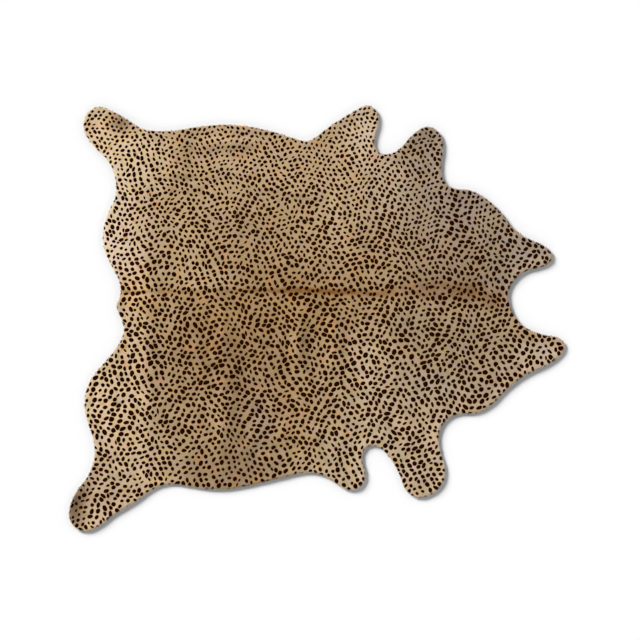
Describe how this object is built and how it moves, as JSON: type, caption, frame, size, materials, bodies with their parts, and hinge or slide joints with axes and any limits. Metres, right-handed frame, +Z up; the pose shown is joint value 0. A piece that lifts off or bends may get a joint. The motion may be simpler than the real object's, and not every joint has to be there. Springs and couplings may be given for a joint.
{
  "type": "cowhide rug",
  "caption": "Flat hair-on cowhide rug cut to the animal's outline, tan with a small dark spot print; lies on a floor with its hair side up.",
  "frame": {"origin": "middle of the hide's outline box, on the floor under it", "axes": "+X from the tail to the neck, +Y to the animal's left side, +Z up from the flesh side to the hair"},
  "size_m": [2.1301, 1.8275, 0.0085],
  "materials": {
    "hair_on_leather": "short smooth tan hair with a printed pattern of small dark brown spots; pale suede on the flesh side"
  },
  "bodies": {
    "root": {"hide": "hair_on_leather"}
  },
  "joints": []
}
